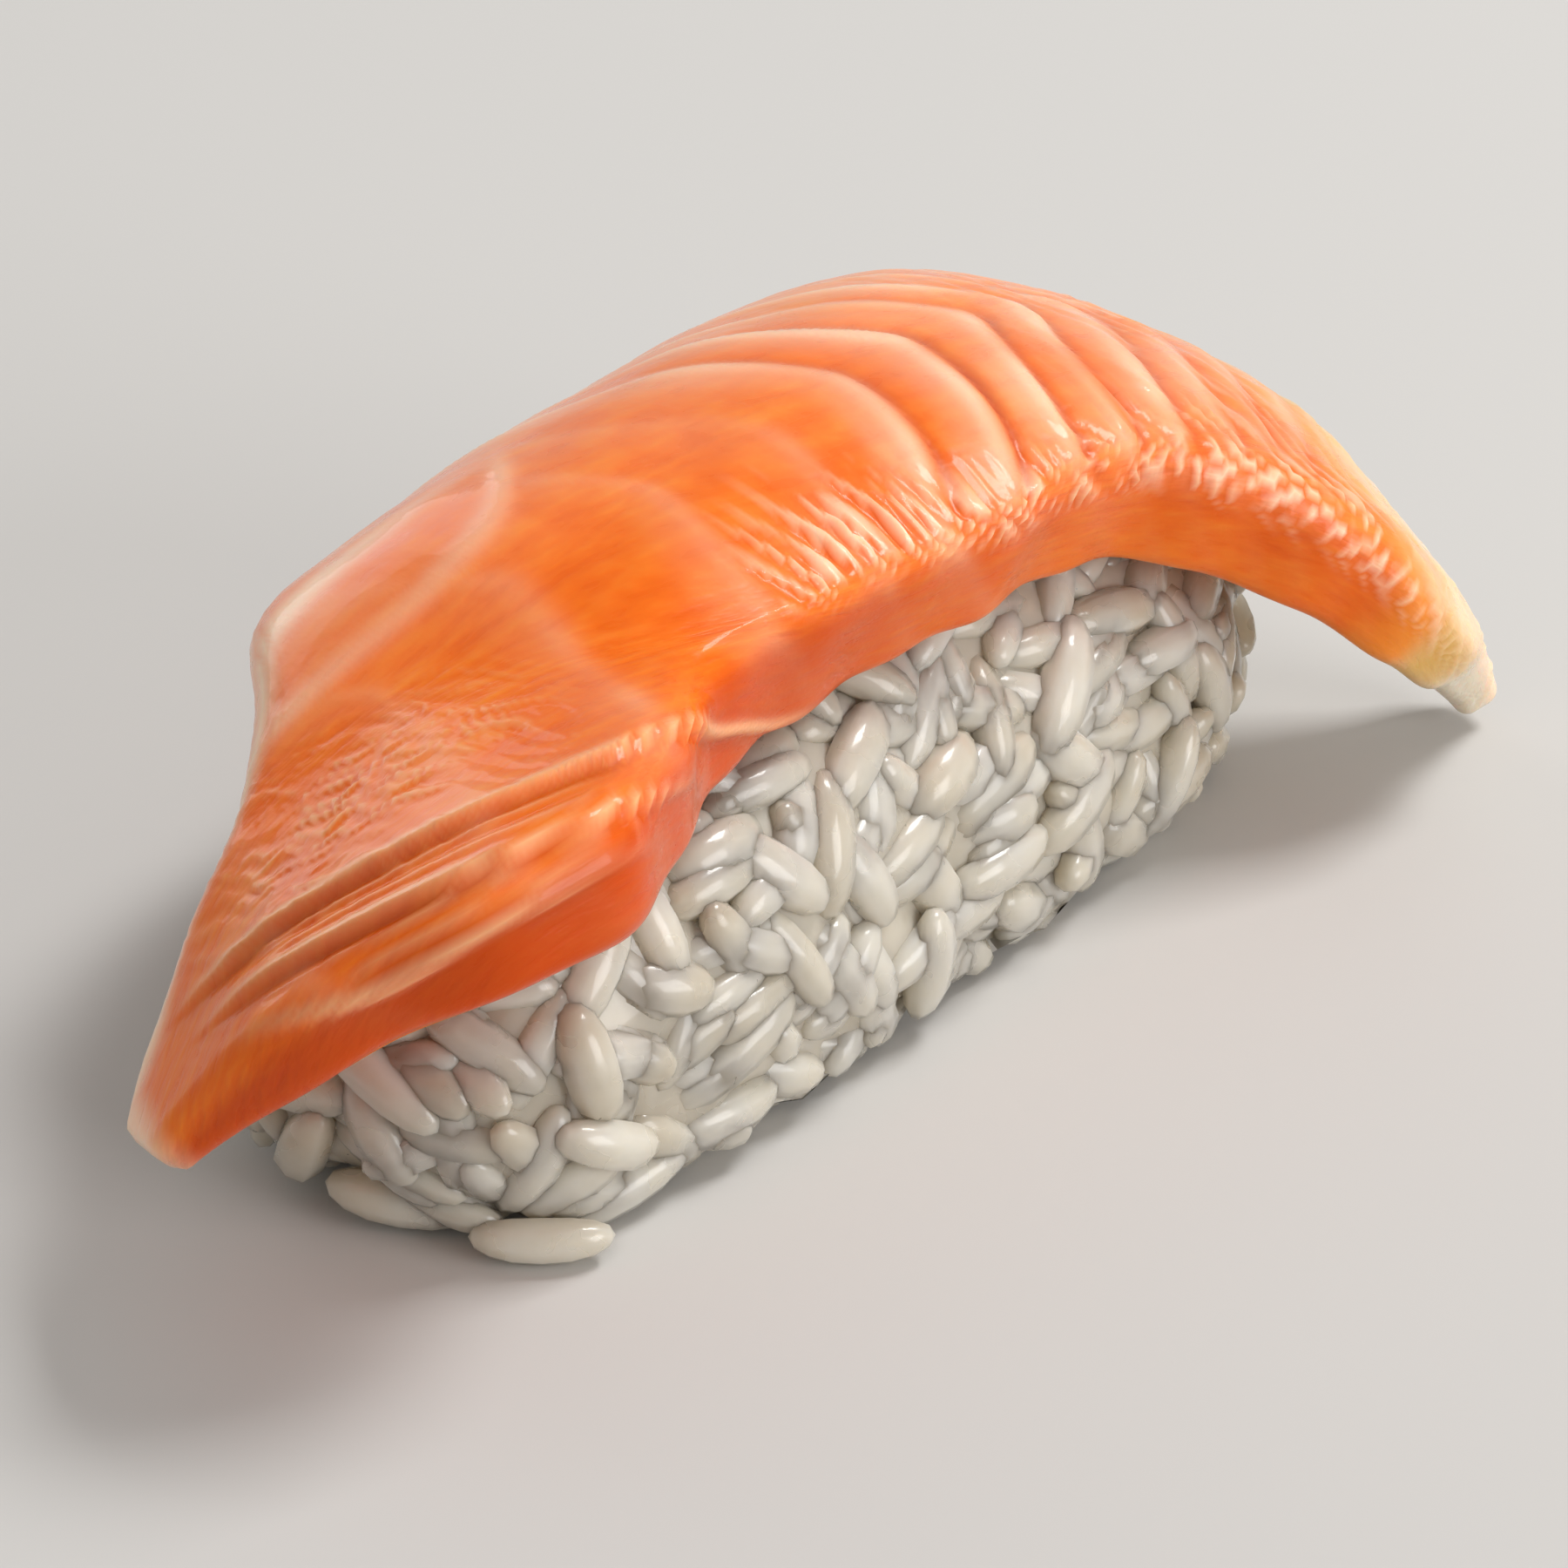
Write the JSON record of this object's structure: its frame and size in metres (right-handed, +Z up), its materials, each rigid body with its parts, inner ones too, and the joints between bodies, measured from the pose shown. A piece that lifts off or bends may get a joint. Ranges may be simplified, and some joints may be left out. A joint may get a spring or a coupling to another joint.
{
  "type": "salmon nigiri sushi",
  "caption": "Piece of nigiri sushi: a curved slice of raw salmon with fat lines draped over a pressed block of white rice, its tail hanging free.",
  "frame": {"origin": "on the rice block's flat underside, in the middle of the block", "axes": "+X along the rice block towards the slice's free tail, +Z up, -Y the flank that the slice leaves mostly bare"},
  "size_m": [0.0795, 0.0408, 0.0275],
  "materials": {
    "rice": "moist, sticky, translucent cooked rice grains; stands in for cooked rice",
    "salmon": "wet raw salmon with pale fat lines; stands in for raw fish"
  },
  "bodies": {
    "root": {"rice": "rice", "salmon_slice": "salmon"}
  },
  "joints": []
}
